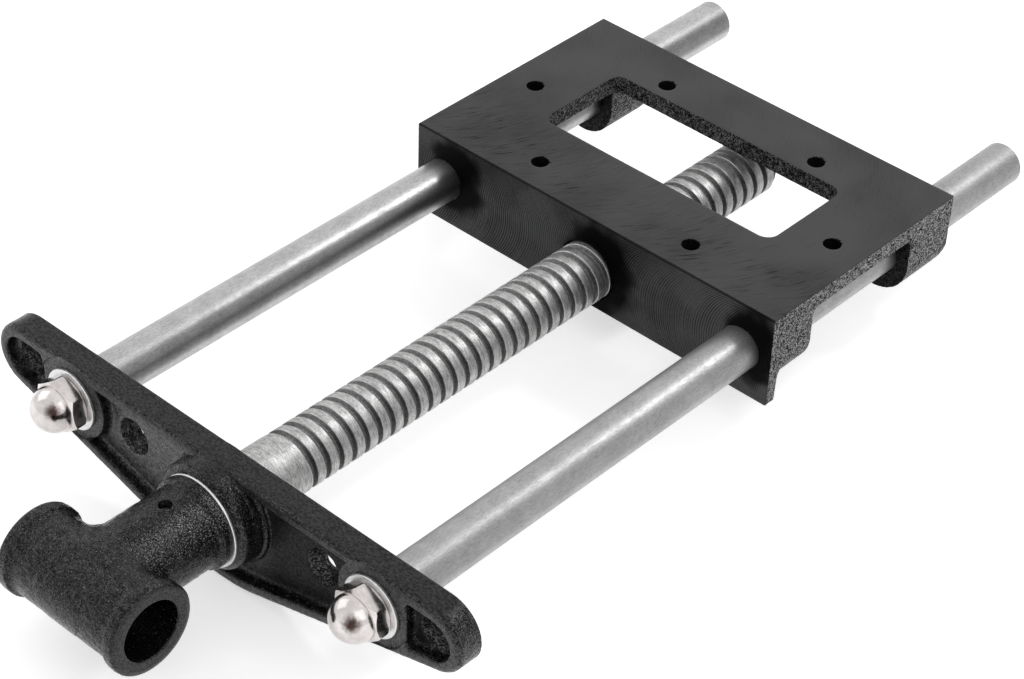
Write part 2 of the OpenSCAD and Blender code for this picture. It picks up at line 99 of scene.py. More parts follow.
# Handle hub
HUB_FOOT, BARREL_Y = -284.8, -337.7
SHANK_R, COLLAR_R, COLLAR_LEN = 18.5, 20.2, 4.5
BARREL_R, BARREL_HALF, RING_R, RING_LEN, HANDLE_R = 18.2, 32.8, 19.9, 5.5, 13.1
PIN_Y, PIN_R, PIN_HALF = HUB_FOOT - 15.8, 2.48, 15

CLEARANCE = 0.05                            # of the holes for the studs and the journal
AXIS_R = 0.01                               # smallest radius of a ring, where a turned piece closes


# ---------------------------------------------------------------- solid shapes as distances

def smax(a, b, r):
    """Intersection of two distances whose convex edge is rounded with radius r."""
    return np.minimum(-r, np.maximum(a, b)) + np.hypot(np.maximum(a + r, 0), np.maximum(b + r, 0))


def smin(a, b, r):
    """Union of two distances whose inner corner is filled with radius r."""
    return -smax(-a, -b, r)


def slab(v, low, high):
    """Distance to the space between two parallel planes."""
    return np.maximum(low - v, v - high)


def rounded_corners(corners, radii, steps=20):
    """Outline of a convex polygon with rounded corners as unit normals and offsets of its edges."""
    points = []
    corners = [np.array(c, float) for c in corners]
    n = len(corners)
    for i, (b, r) in enumerate(zip(corners, radii)):
        a, c = corners[i - 1], corners[(i + 1) % n]
        ua, uc = (a - b) / np.linalg.norm(a - b), (c - b) / np.linalg.norm(c - b)
        half = math.acos(np.clip(ua @ uc, -1, 1)) / 2
        bis = (ua + uc) / np.linalg.norm(ua + uc)
        centre = b + bis * r / math.sin(half)
        start = math.atan2(a[0] - b[0], b[1] - a[1])
        end = math.atan2(b[0] - c[0], c[1] - b[1])
        sweep = (end - start) % (2 * math.pi)
        for k in range(steps + 1):
            t = start + sweep * k / steps
            points.append(centre + r * np.array([math.cos(t), math.sin(t)]))
    edges = []
    for p, q in zip(points, points[1:] + points[:1]):
        d = q - p
        if np.linalg.norm(d) > 1e-6:
            normal = np.array([d[1], -d[0]]) / np.linalg.norm(d)
            edges.append((normal, float(normal @ p)))
    return edges


def convex(x, z, edges):
    """Distance to a convex outline in the XZ plane."""
    out = None
    for normal, offset in edges:
        d = normal[0] * x + normal[1] * z - offset
        out = d if out is None else np.maximum(out, d)
    return out


def surface_nets(f, low, high, h):
    """Quads on the zero surface of the distance f, with crisp vertices on its edges."""
    xs, ys, zs = (np.arange(a, b + h, h) for a, b in zip(low, high))
    v = f(xs[:, None, None], ys[None, :, None], zs[None, None, :])
    v = np.broadcast_to(v, (len(xs), len(ys), len(zs)))
    inside = v < 0
    nx, ny, nz = (len(a) - 1 for a in (xs, ys, zs))
    count = np.zeros((nx, ny, nz), np.int8)
    for i, j, k in np.ndindex(2, 2, 2):
        count += inside[i:nx + i, j:ny + j, k:nz + k]
    cells = np.argwhere((count > 0) & (count < 8))
    index = -np.ones((nx, ny, nz), np.int64)
    index[tuple(cells.T)] = np.arange(len(cells))
    origin = np.array([xs[0], ys[0], zs[0]])
    # Sums over the crossed grid edges of each cell: count, point, normal and normal products
    sums = np.zeros((16, len(cells)))
    faces = []
    for axis in range(3):
        step = np.eye(3, dtype=int)
        b, c = step[(axis + 1) % 3], step[(axis + 2) % 3]
        lo = tuple(slice(0, -1) if i == axis else slice(1, -1) for i in range(3))
        hi = tuple(slice(1, None) if i == axis else slice(1, -1) for i in range(3))
        base = np.argwhere(inside[lo] != inside[hi]) + (1 - step[axis])
        va, vb = v[tuple(base.T)], v[tuple((base + step[axis]).T)]
        p = origin + (base + (va / (va - vb))[:, None] * step[axis]) * h
        n = gradient(f, p)
        row = np.concatenate([
            np.ones((len(p), 1)), p, n * (n * p).sum(1, keepdims=True),
            (n[:, :, None] * n[:, None, :]).reshape(-1, 9)], 1)
        quad = np.stack([index[tuple((base - o).T)] for o in (b + c, c, 0 * b, b)], 1)
        for corner in quad.T:
            for k in range(16):
                sums[k] += np.bincount(corner, row[:, k], len(cells))
        faces.append(np.where((va < 0)[:, None], quad, quad[:, ::-1]))
    faces = np.concatenate(faces)
    mean = (sums[1:4] / sums[0]).T
    # A small weight holds a vertex at the mean of its crossings where the surface is flat
    weight = 0.02
    matrix = sums[7:16].T.reshape(-1, 3, 3) + weight * np.eye(3)
    points = np.linalg.solve(matrix, (sums[4:7].T + weight * mean)[:, :, None])[:, :, 0]
    corner = origin + cells * h
    points = np.clip(points, corner, corner + h)
    for _ in range(3):
        d = f(*points.T)
        g = gradient(f, points)
        points -= np.clip(d, -h, h)[:, None] * g
    return points, faces, gradient(f, points)


def gradient(f, points, e=0.02):
    """Unit normals of the distance f at the points."""
    g = np.empty_like(points)
    for axis in range(3):
        step = np.zeros(3)
        step[axis] = e
        g[:, axis] = f(*(points + step).T) - f(*(points - step).T)
    return g / np.maximum(np.linalg.norm(g, axis=1, keepdims=True), 1e-9)


def lumps(points, size, octaves=1):
    """Smooth noise from 0 to 1 at each point, with lumps of that size in millimetres."""
    out = np.empty(len(points))
    for i, p in enumerate(points / size):
        out[i] = noise.fractal(p, 0.7, 2.1, octaves) if octaves > 1 else noise.noise(p)
    return np.clip(0.5 + 0.5 * out, 0, 1)


def roughen(points, normals, share, coarse, fine, depth):
    """Moves points inwards by lumps of two sizes, each given by height, size and octaves."""
    rough = coarse[0] * lumps(points, *coarse[1:]) + fine[0] * lumps(points + 40, *fine[1:])
    return points - normals * (rough * share * depth)[:, None]


# ---------------------------------------------------------------- mesh helpers

def new_object(name, points, faces, body, nodes, materials, index=None):
    """A piece in the row frame from points in millimetres."""
    mesh = bpy.data.meshes.new(name)
    mesh.from_pydata((np.asarray(points) / 1000).tolist(), [], [list(map(int, f)) for f in faces])
    for m in materials:
        mesh.materials.append(m)
    if index is not None:
        mesh.polygons.foreach_set("material_index", np.asarray(index, np.int32))
    mesh.polygons.foreach_set("use_smooth", np.full(len(mesh.polygons), True))
    mesh.validate()
    mesh.update()
    obj = bpy.data.objects.new(name, mesh)
    bpy.context.scene.collection.objects.link(obj)
    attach(obj, body)
    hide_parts(*nodes)
    return obj


def paint(obj, name, values):
    """A number per vertex that the materials read."""
    layer = obj.data.attributes.new(name, "FLOAT", "POINT")
    layer.data.foreach_set("value", np.asarray(values, np.float32))


def mark_sharp(obj, degrees):
    """Breaks the smooth shading at edges that turn by more than that angle."""
    obj.data.set_sharp_from_angle(angle=math.radians(degrees))


def rows_mesh(rows, closed=True):
    """Skin over rings of equal length, with a fan at each end if closed."""
    n = len(rows[0])
    points = [p for row in rows for p in row]
    faces = []
    for r in range(len(rows) - 1):
        for s in range(n):
            a, b = r * n + s, r * n + (s + 1) % n
            faces.append((a, b, b + n, a + n))
    for row, flip in ((0, True), (len(rows) - 1, False)) if closed else ():
        centre = len(points)
        points.append(tuple(np.mean(rows[row], axis=0)))
        for s in range(n):
            a, b = row * n + s, row * n + (s + 1) % n
            faces.append((b, a, centre) if flip else (a, b, centre))
    return points, faces


def ring_row(x, z, r, y, segments):
    """Ring round an axis along Y, turning so that rows that go back face outwards."""
    a = np.arange(segments) * 2 * math.pi / segments
    r = np.broadcast_to(r, a.shape)
    y = np.broadcast_to(y, a.shape)
    return list(zip(x + r * np.sin(a), y, z + r * np.cos(a)))


def soft_edges(profile, bevels):
    """Replaces each corner of an open profile by a short arc; bevels gives its size per corner."""
    out = [profile[0]]
    for i in range(1, len(profile) - 1):
        a, b, c = (np.array(profile[k], float) for k in (i - 1, i, i + 1))
        s = bevels[i - 1]
        if not s:
            out.append(tuple(b))
            continue
        p, q = b + s * (a - b) / np.linalg.norm(a - b), b + s * (c - b) / np.linalg.norm(c - b)
        for t in (0, 0.25, 0.5, 0.75, 1):
            out.append(tuple((1 - t) ** 2 * p + 2 * t * (1 - t) * b + t * t * q))
    return out + [profile[-1]]


# ---------------------------------------------------------------- materials

def rgb(v, tint=(1, 1, 1)):
    """Grey of that linear value, with a tint."""
    return (v * tint[0], v * tint[1], v * tint[2], 1)


class Shader:
    """Small helper that builds one node material on object coordinates in millimetres."""

    def __init__(self, name):
        self.mat = bpy.data.materials.new(name)
        self.mat.use_nodes = True
        self.tree = self.mat.node_tree
        self.bsdf = self.tree.nodes["Principled BSDF"]
        coord = self.tree.nodes.new("ShaderNodeTexCoord")
        self.mm = self.vector("MULTIPLY", coord.outputs["Object"], (1000, 1000, 1000))

    def link(self, value, socket):
        """Links an output to the socket, or sets a number or colour on it."""
        if hasattr(value, "is_linked"):
            self.tree.links.new(value, socket)
        else:
            socket.default_value = value

    def vector(self, operation, a, b):
        node = self.tree.nodes.new("ShaderNodeVectorMath")
        node.operation = operation
        self.link(a, node.inputs[0])
        self.link(b, node.inputs["Scale" if operation == "SCALE" else 1])
        return node.outputs["Value" if operation in ("DISTANCE", "LENGTH") else "Vector"]

    def math(self, operation, a, b=0.0, c=0.0, clamp=False):
        node = self.tree.nodes.new("ShaderNodeMath")
        node.operation = operation
        node.use_clamp = clamp
        for value, socket in zip((a, b, c), node.inputs):
            self.link(value, socket)
        return node.outputs[0]

    def add(self, a, b, clamp=False):
        return self.math("ADD", a, b, clamp=clamp)

    def subtract(self, a, b):
        return self.math("SUBTRACT", a, b)

    def times(self, a, b):
        return self.math("MULTIPLY", a, b)

    def times_add(self, a, b, c):
        return self.math("MULTIPLY_ADD", a, b, c)

    def swing(self, value, amount):
        """A noise value as a swing round zero."""
        return self.times(self.subtract(value, 0.5), amount)

    def weigh(self, *parts):
        """Sum of values, each times its weight."""
        total = self.times(*parts[0])
        for part in parts[1:]:
            total = self.add(total, self.times(*part))
        return total

    def noise(self, per_mm, detail=2.0, rough=0.5, vector=None, w=None):
        """Noise at a point, or along the one value w."""
        node = self.tree.nodes.new("ShaderNodeTexNoise")
        if w is not None:
            node.noise_dimensions = "1D"
            self.link(w, node.inputs["W"])
        else:
            self.link(self.mm if vector is None else vector, node.inputs["Vector"])
        node.inputs["Scale"].default_value = per_mm
        node.inputs["Detail"].default_value = detail
        node.inputs["Roughness"].default_value = rough
        return node.outputs[0]

    def split(self):
        """The place in millimetres as x, y and z."""
        node = self.tree.nodes.new("ShaderNodeSeparateXYZ")
        self.link(self.mm, node.inputs[0])
        return node.outputs[:]

    def join(self, x, y, z):
        node = self.tree.nodes.new("ShaderNodeCombineXYZ")
        for value, socket in zip((x, y, z), node.inputs):
            self.link(value, socket)
        return node.outputs[0]

    def arc(self, across, along, centre, r):
        """Where the middle of a cutter of radius r was when its edge passed here."""
        off = self.subtract(along, centre)
        rest = self.subtract(r * r, self.times(off, off))
        return self.add(across, self.math("SQRT", self.math("MAXIMUM", rest, 0.0)))

    def attribute(self, name):
        node = self.tree.nodes.new("ShaderNodeAttribute")
        node.attribute_name = name
        return node.outputs["Fac"]

    def ramp(self, value, low, high, to_low=0.0, to_high=1.0):
        """Soft step from to_low at low to to_high at high."""
        node = self.tree.nodes.new("ShaderNodeMapRange")
        node.interpolation_type = "SMOOTHSTEP"
        for key, v in (("Value", value), ("From Min", low), ("From Max", high),
                       ("To Min", to_low), ("To Max", to_high)):
            self.link(v, node.inputs[key])
        return node.outputs[0]

    def mix(self, fac, a, b):
        node = self.tree.nodes.new("ShaderNodeMix")
        node.data_type = "RGBA"
        colours = [s for s in node.inputs if s.type == "RGBA"]
        self.link(fac, node.inputs[0])
        self.link(a, colours[0])
        self.link(b, colours[1])
        return next(s for s in node.outputs if s.type == "RGBA")

    def bump(self, height, depth_mm, strength):
        node = self.tree.nodes.new("ShaderNodeBump")
        node.inputs["Strength"].default_value = strength
        node.inputs["Distance"].default_value = depth_mm / 1000
        self.link(height, node.inputs["Height"])
        return node.outputs[0]

    def finish(self, **sockets):
        """Links or sets the named sockets; an underscore stands for a space."""
        if "Specular_IOR_Level" in sockets:
            # Mean of the linked level, for a reader that only takes the socket's own value
            self.bsdf.inputs["Specular IOR Level"].default_value = 0.3
        for key, value in sockets.items():
            self.link(value, self.bsdf.inputs[key.replace("_", " ")])
        return self.mat


def cast_black(name, low, high, roughness, grain=1.0, specular=(0.3, 0.6), depth=0.5,
               level=(0.46, 0.62), shade_along=None, painted_glints=None, hub_sheen=False):
    """Black paint over a rough casting, with dark pits of colour low and shinier peaks of colour high.

    The lighter peaks stand partly for wear and partly for the sparkle highlights of rough paint, so
    they are partly a painted highlight. level gives the noise values from pit to peak, weaker the axis,
    start, end and share by which the peaks fade, which is a painted shade, and flecks the threshold and
    colour of small painted glints.
    """
    s = Shader(name)
    lump = s.weigh((s.noise(1.5 * grain, 2.0, 0.65), 0.75), (s.noise(0.45 * grain, 2.0, 0.5), 0.25))
    shine = s.ramp(lump, *level, *specular)
    # The colour of the peaks is partly wear and partly a painted sparkle highlight
    wear_and_sparkle = s.ramp(lump, *level)
    if shade_along:
        # Painted shade: the peaks fade along the axis
        axis, start, end, share = shade_along
        fade = s.ramp(s.split()[axis], start, end, 1.0, share)
        shine, wear_and_sparkle = s.times(shine, fade), s.times(wear_and_sparkle, fade)
    colour = s.mix(wear_and_sparkle, rgb(low), rgb(high))
    if painted_glints:
        # Small bright specks of colour are painted glints
        threshold, value = painted_glints
        if hub_sheen:
            threshold = hub_glints(s, threshold)
        glint = s.ramp(s.subtract(s.noise(1.7, 1.0, 0.5), threshold), 0.0, 0.06)
        colour = s.mix(glint, colour, rgb(value))
    return s.finish(
        Base_Color=colour,
        Roughness=s.ramp(s.noise(0.6), 0.3, 0.7, roughness - 0.06, roughness + 0.1),
        Specular_IOR_Level=shine, Normal=s.bump(lump, depth, 0.9),
    )


def hub_glints(s, threshold):
    """Painted glints lie closer together on a patch of the hub's shank, a painted sheen where the light
    falls, and hardly any in its bore.
    """
    x, y, z = s.split()
    near = s.vector("DISTANCE", s.join(x, 0.0, z), (12.5, 0.0, SCREW_Z + 13.0))
    # A painted sheen: the patch of the shank where glints lie closer together
    sheen_patch = s.times(s.ramp(near, 4.0, 12.0, 1.0, 0.0), s.ramp(y, -330, -316))
    threshold = s.times_add(sheen_patch, -0.10, threshold)
    from_axis = s.vector("DISTANCE", s.join(0.0, y, z), (0.0, BARREL_Y, SCREW_Z))
    in_bore = s.ramp(from_axis, HANDLE_R + 0.2, HANDLE_R + 1.2, 1.0, 0.0)
    return s.times_add(in_bore, 0.055, threshold)


def machined_top():
    """Planed top of the bracket: satin dark grey with short feathery marks along the cutter's arcs."""
    s = Shader("machined_top")
    x, y, z = s.split()
    arc = s.subtract(0.0, s.arc(s.times(x, -1.0), y, FACE_Y + 62, 90.0))
    feather = s.noise(1.2, 2.0, 0.6, vector=s.join(arc, s.times(y, 0.06), 0.0))
    hair = s.noise(1.0, 2.0, 0.7, vector=s.join(s.times(arc, 2.6), s.times(y, 0.10), 7.0))
    patch = s.noise(0.045, 2.0, 0.5)
    grain = s.noise(1.3, 2.0, 0.7)
    front = s.ramp(y, FACE_Y + 50, FACE_Y + 25, 0.0, 1.0)
    reach = s.times(s.ramp(patch, 0.38, 0.56, 0.3, 1.0), s.times_add(front, 0.7, 0.3))
    stroke = s.times(s.ramp(feather, 0.55, 0.68), reach)
    tone = s.subtract(0.66, s.times(stroke, 0.40))
    tone = s.add(tone, s.swing(hair, s.times_add(front, 0.4, 0.3)))
    tone = s.add(tone, s.swing(grain, 0.35))
    tone = s.subtract(tone, s.times(front, 0.08))
    tone = s.add(tone, s.ramp(s.noise(0.02, 2.0, 0.5), 0.35, 0.65, -0.10, 0.14), clamp=True)
    height = s.subtract(s.times(hair, 0.4), s.times(stroke, 0.6))
    bluish = (1, 1, 1.03)
    return s.finish(
        Base_Color=s.mix(tone, rgb(0.002, bluish), rgb(0.052, bluish)), Roughness=0.42,
        Specular_IOR_Level=s.ramp(tone, 0.0, 0.8, 0.04, 0.31), Normal=s.bump(height, 0.05, 0.6),
    )


def machined_front():
    """Faced front of the flange: near black, with the cutter's fine arcs and a painted shade and
    reflection round bores.
    """
    s = Shader("machined_front")
    x, y, z = s.split()
    arc = s.arc(s.math("ABSOLUTE", x), z, -25.0, 31.0)
    arc_step = 1.25
    wave = s.math("SINE", s.times(arc, 2 * math.pi / arc_step))
    strong = s.ramp(s.noise(0.05, 1.0, 0.5), 0.38, 0.62, 0.25, 1.0)
    bore_shade = None
    for bore_x, bore_z, r in ((-ROD_X, ROD_Z, 10), (0, SCREW_Z, 14), (ROD_X, ROD_Z, 10)):
        # The painted shade and reflection round each bore lies a little up and reaches further to the
        # right
        off = s.subtract(x, bore_x + 4.0)
        off = s.math("MAXIMUM", off, s.times(off, -1.6))
        drop = s.subtract(z, bore_z + 4.0)
        away = s.vector("LENGTH", s.join(off, 0.0, drop), (0, 0, 0))
        away = s.add(away, s.ramp(s.noise(0.1, 1.0), 0.3, 0.7, -2.0, 2.0))
        zone = s.ramp(away, r + 4, r + 14, 1.0, 0.0)
        bore_shade = zone if bore_shade is None else s.math("MAXIMUM", bore_shade, zone)
    fine = s.noise(2.2, 2.0, 0.6, w=arc)
    cloud = s.noise(0.04, 2.0, 0.5)
    grain = s.noise(1.4, 2.0, 0.7)
    tone = s.times(s.times(wave, 0.45), strong)
    tone = s.add(tone, s.swing(fine, 1.1))
    tone = s.add(tone, s.swing(grain, 0.9))
    # Painted light: the face grows lighter towards the right
    tone = s.add(tone, s.ramp(x, 10, 90, 0.0, 0.30))
    tone = s.add(tone, s.ramp(cloud, 0.35, 0.65, 0.25, 0.5), clamp=True)
    # A thin dark line runs along the top edge
    tone = s.times(tone, s.ramp(z, -0.8, -0.45, 1.0, 0.2))
    # Painted shade and reflection round the bores
    tone = s.times(tone, s.subtract(1.0, s.times(bore_shade, 0.9)))
    shine = s.times(s.ramp(tone, 0.0, 0.8, 0.08, 0.30), s.subtract(1.0, s.times(bore_shade, 0.8)))
    height = s.add(s.times(s.times(wave, strong), 0.5), fine)
    return s.finish(
        Base_Color=s.mix(tone, rgb(0.001), rgb(0.040, (1, 1, 1.06))), Roughness=0.36,
        Specular_IOR_Level=shine, Normal=s.bump(height, 0.05, 0.6),
    )


def painted_side_shade(s, bar_x, bar_z, r, share):
    """Share that a bar's colour keeps: a painted shade on the side that faces right and a little up,
    and a fainter painted shade on the far left side.
    """
    x, y, z = s.split()
    up = s.times(s.subtract(z, bar_z), 0.44 / r)
    side = s.times_add(s.subtract(x, bar_x), 0.90 / r, up)
    return s.times(s.ramp(side, 0.78, 0.97, 1.0, share), s.ramp(side, -0.6, -0.1, 0.85, 1.0))


def steel(name, value, roughness, mottle=0.3, streak=(1.6, 0.3, 1.6), shaded_side=None):
    """Bare steel, its grain drawn out along the axis, with a fine mottle and faint matt clouds."""
    s = Shader(name)
    grain = s.noise(1.0, 3.0, 0.7, vector=s.vector("MULTIPLY", s.mm, streak))
    fine = s.noise(2.4, 2.0, 0.7)
    cloud = s.noise(0.10, 3.0, 0.6)
    shade = s.weigh((s.ramp(grain, 0.3, 0.7), 0.45), (s.ramp(fine, 0.3, 0.7), 0.35),
                    (s.ramp(cloud, 0.3, 0.7), 0.2))
    colour = s.mix(shade, rgb(value * (1 - mottle)), rgb(value * (1 + 0.5 * mottle)))
    if shaded_side:
        # A painted shade on the bar's side that faces right
        colour = s.vector("SCALE", colour, painted_side_shade(s, *shaded_side))
    return s.finish(
        Base_Color=colour, Metallic=1.0,
        Roughness=s.ramp(shade, 0.2, 0.8, roughness + 0.05, roughness - 0.05),
        Normal=s.bump(grain, 0.02, 0.5),
    )


def thread_steel():
    """Lead screw: burnished crests with turning marks, matt grey grooves, and painted light and shade.
    """
    s = Shader("thread_steel")
    groove = s.attribute("groove")
    cloud = s.noise(0.35, 3.0, 0.65)
    fine = s.noise(2.6, 2.0, 0.7)
    lines = s.noise(1.0, 2.0, 0.7, vector=s.vector("MULTIPLY", s.mm, (0.25, 3.0, 0.25)))
    grime = s.noise(1.1, 3.0, 0.7)
    shade = s.weigh((s.ramp(cloud, 0.3, 0.7), 0.20), (s.ramp(fine, 0.35, 0.65), 0.35),
                    (s.ramp(lines, 0.35, 0.65), 0.45))
    x, y, z = s.split()
    # Grooves are painted lighter on the upper left, where the light falls on them
    lit_top = s.ramp(s.subtract(z, s.times(x, 1.1)), -34.0, -14.0)
    dirty = s.ramp(grime, 0.3, 0.7)
    bright = s.mix(shade, rgb(0.15, (1, 0.99, 0.98)), rgb(0.76, (1, 1, 0.99)))
    grey = s.mix(dirty, rgb(0.09, (1, 0.99, 1.0)), rgb(0.20))
    light = s.mix(dirty, rgb(0.20), rgb(0.42))
    inside = s.ramp(groove, 0.06, 0.25)
    burr = s.times(s.ramp(groove, 0.005, 0.03), s.ramp(groove, 0.06, 0.16, 1.0, 0.0))
    colour = s.mix(inside, bright, s.mix(lit_top, grey, light))
    colour = s.mix(s.times(burr, 0.15), colour, rgb(0.75))
    # A painted shade on the screw's side that faces right
    colour = s.vector("SCALE", colour, painted_side_shade(s, 0, SCREW_Z, SCREW_R, 0.70))
    # A row of small nicks along the right side
    line = s.vector("DISTANCE", s.join(x, 0.0, z), (12.2, 0.0, SCREW_Z + 6.2))
    nick = s.times(s.ramp(line, 0.3, 1.5, 0.8, 0.0), s.ramp(s.noise(1.1, 1.0), 0.44, 0.60))
    nick = s.times(nick, s.ramp(groove, 0.0, 0.08))
    return s.finish(
        Base_Color=s.mix(nick, colour, rgb(0.01)),
        Metallic=s.subtract(1.0, s.times(inside, 0.3)),
        Roughness=s.ramp(inside, 0.0, 1.0, 0.50, 0.60),
        Normal=s.bump(s.add(lines, s.times(grime, 0.6)), 0.035, 0.6),
    )


def nickel(painted_reflections):
    """Polished nickel plate with a faint warm tint, and a brownish spot on each dome that is a painted
    reflection.
    """
    s = Shader("nickel_plate")
    cloud = s.noise(0.25, 3.0, 0.6)
    ragged = s.swing(s.noise(0.7, 3.0, 0.6), 2.6)
    colour = s.mix(s.ramp(cloud, 0.3, 0.7), rgb(0.58, (1, 0.935, 0.92)), rgb(0.72, (1, 0.95, 0.935)))
    brown = (0.045, 0.022, 0.016, 1)
    # Each brownish spot is a painted reflection
    for place in painted_reflections:
        off = s.add(s.vector("DISTANCE", s.mm, place), ragged)
        colour = s.mix(s.ramp(off, 1.0, 4.8, 0.97, 0.0), colour, brown)
    return s.finish(
        Base_Color=colour, Metallic=1.0, Roughness=s.ramp(cloud, 0.3, 0.7, 0.14, 0.21),
        Normal=s.bump(cloud, 0.03, 0.3),
    )


def zinc():
    """Bright zinc plate, a little cloudy."""
    s = Shader("zinc_plate")
    cloud = s.noise(0.5, 4.0, 0.7)
    grain = s.noise(3.0, 2.0, 0.6)
    return s.finish(
        Base_Color=s.mix(s.ramp(cloud, 0.3, 0.7), rgb(0.66), rgb(0.84)), Metallic=0.9,
        Roughness=s.ramp(cloud, 0.3, 0.7, 0.30, 0.42), Normal=s.bump(grain, 0.01, 0.5),
    )


def smooth_paint(name, value, roughness, specular=0.3):
    """Black paint on a smoother face, with a leathery grain."""
    s = Shader(name)
    cloud = s.noise(0.12, 3.0, 0.6)
    fine = s.noise(1.0, 3.0, 0.65, vector=s.vector("MULTIPLY", s.mm, (0.7, 1.2, 1.0)))
    tone = s.weigh((s.ramp(cloud, 0.3, 0.7), 0.35), (s.ramp(fine, 0.35, 0.65), 0.65))
    return s.finish(
        Base_Color=s.mix(tone, rgb(value * 0.4), rgb(value * 1.5)),
        Roughness=s.ramp(fine, 0.3, 0.7, roughness - 0.05, roughness + 0.08),
        Specular_IOR_Level=s.ramp(fine, 0.38, 0.62, specular * 0.55, specular * 1.35),
        Normal=s.bump(fine, 0.12, 0.6),
    )


# ---------------------------------------------------------------- castings

def bracket_shape(x, y, z):
    """Distance to the bracket: top plate, flange, rod guides, lugs and nut boss, less its holes."""
    x = np.abs(x)
    y = y - FACE_Y
    edge, fillet = 1.0, 2.5
    over = 3                # how far each form passes the top and front planes, which cut it at the end
    side = x - BRACKET_HALF
    top = smax(smax(side, slab(y, -over, BRACKET_DEPTH), edge), slab(z, -TOP_T, over), edge)
    # The flange grows by 2.4 over a height of 36; the factor keeps this a distance
    slope = (y - FLANGE_T - (z + FLANGE_H) * (2.4 / 36)) * 0.9978
    flange = smax(smax(side, np.maximum(slope, -over - y), edge), slab(z, -FLANGE_H, over), edge)
    body = smin(top, flange, 3)
    u = x - ROD_X
    guide = np.where(z > GUIDE_Z, np.abs(u), np.hypot(u, z - GUIDE_Z)) - GUIDE_R
    guide = np.where(u > 0, np.maximum(guide, side), guide)
    guide = np.maximum(guide, z - over)
    body = smin(body, smax(guide, slab(y, -over, GUIDE_LEN), edge), fillet)
    # The rear edge of a lug gets rounder downwards
    low = np.clip((-26 - z) / 8, 0, 1)
    lug = smax(np.maximum(guide, LUG_START - y), y - BRACKET_DEPTH, edge + 3 * low)
    body = smin(body, lug, fillet)
    boss = smax(np.hypot(x, z - SCREW_Z) - NUT_BOSS_R, slab(y, FLANGE_T, NUT_BOSS_END), edge)
    body = smin(body, boss, fillet)
    # The round unions swell where faces lie in one plane, so the outer planes cut them again
    body = np.maximum(body, np.maximum(side, y - BRACKET_DEPTH))
    wx, wy = x - WINDOW_HALF_X + WINDOW_R, np.abs(y - WINDOW_Y) - WINDOW_HALF_Y + WINDOW_R
    window = np.hypot(np.maximum(wx, 0), np.maximum(wy, 0)) + np.minimum(np.maximum(wx, wy), 0)
    body = smax(body, WINDOW_R - window, 0.8)
    body = smax(body, z, 0.3)
    body = smax(body, -y, 0.3)
    for hx, hy in BENCH_HOLES:
        hole = np.minimum(BENCH_HOLE_R - np.hypot(x - hx, y - hy), z + 15)
        body = smax(body, hole, 0.25)
    body = smax(body, ROD_BORE_R - np.hypot(u, z - ROD_Z), 0.4)
    screw = np.hypot(x, z - SCREW_Z)
    well = np.minimum(screw - SCREW_HOLE_R, np.maximum(screw - NUT_R, NUT_START - y))
    return smax(body, -well, 0.3)


def make_bracket():
    points, faces, normals = surface_nets(
        bracket_shape, (-103.5, FACE_Y - 2, -51.8), (103.5, 67.6, 2), 0.8)
    x, y, z = points.T
    behind = y - FACE_Y
    bore = np.hypot(np.abs(x) - ROD_X, z - ROD_Z) < ROD_BORE_R + 0.6
    screw = np.hypot(x, z - SCREW_Z) < NUT_R + 0.5
    machined = (z > -0.35) | (behind < 0.35) | bore | (screw & (np.abs(normals[:, 1]) < 0.9))
    # The roughness grows over the first millimetres below and behind the machined faces
    share = np.where(machined, 0, 1) * np.clip(-z / 1.5, 0, 1) * np.clip(behind / 1.5, 0, 1)
    points = roughen(points, normals, share, (0.32, 2.4), (0.14, 1.1), 0.55)

    cx, cy, cz = points[faces].mean(1).T
    facing = normals[faces].mean(1)
    behind, ax = cy - FACE_Y, np.abs(cx)
    bore = np.hypot(ax - ROD_X, cz - ROD_Z) < ROD_BORE_R + 0.2
    materials = [CAST, TOP, FRONT, BORE, HOLE, WALL, SHADED_CAST]
    cast, top, front, bored, hole, wall, in_shade = range(len(materials))
    index = np.full(len(faces), cast)
    index[(facing[:, 1] < -0.92) & (behind < 0.2)] = front
    index[bore & (np.abs(facing[:, 1]) < 0.5)] = bored
    # The edges take the darker finish of the faces that they bound
    index[(cz > -0.5) & (behind >= 0.5)] = top
    index[(behind < 0.5) & ~bore] = front
    # Cast faces turned to the front behind the flange take a darker copy of the paint: painted shade
    index[(facing[:, 1] < -0.35) & (behind > 1)] = in_shade
    outside = np.maximum(ax - WINDOW_HALF_X, np.abs(behind - WINDOW_Y) - WINDOW_HALF_Y)
    upright = np.abs(facing[:, 2]) < 0.6
    index[(outside < 0.3) & upright & (cz > -TOP_T - 0.5) & (cz < -0.5)] = wall
    for hx, hy in BENCH_HOLES:
        index[(np.hypot(ax - hx, behind - hy) < BENCH_HOLE_R + 0.35) & (cz < -0.12)] = hole
    # Painted shade: the rim and wall of the screw's hole take the near black hole paint, where the
    # screw fills it
    index[(np.hypot(cx, cz - SCREW_Z) < SCREW_HOLE_R + 0.5) & (behind < 10)] = hole
    obj = new_object("bracket", points, faces, "bench_bracket", ["body_casting"],
                     materials, index)
    mark_sharp(obj, 40)


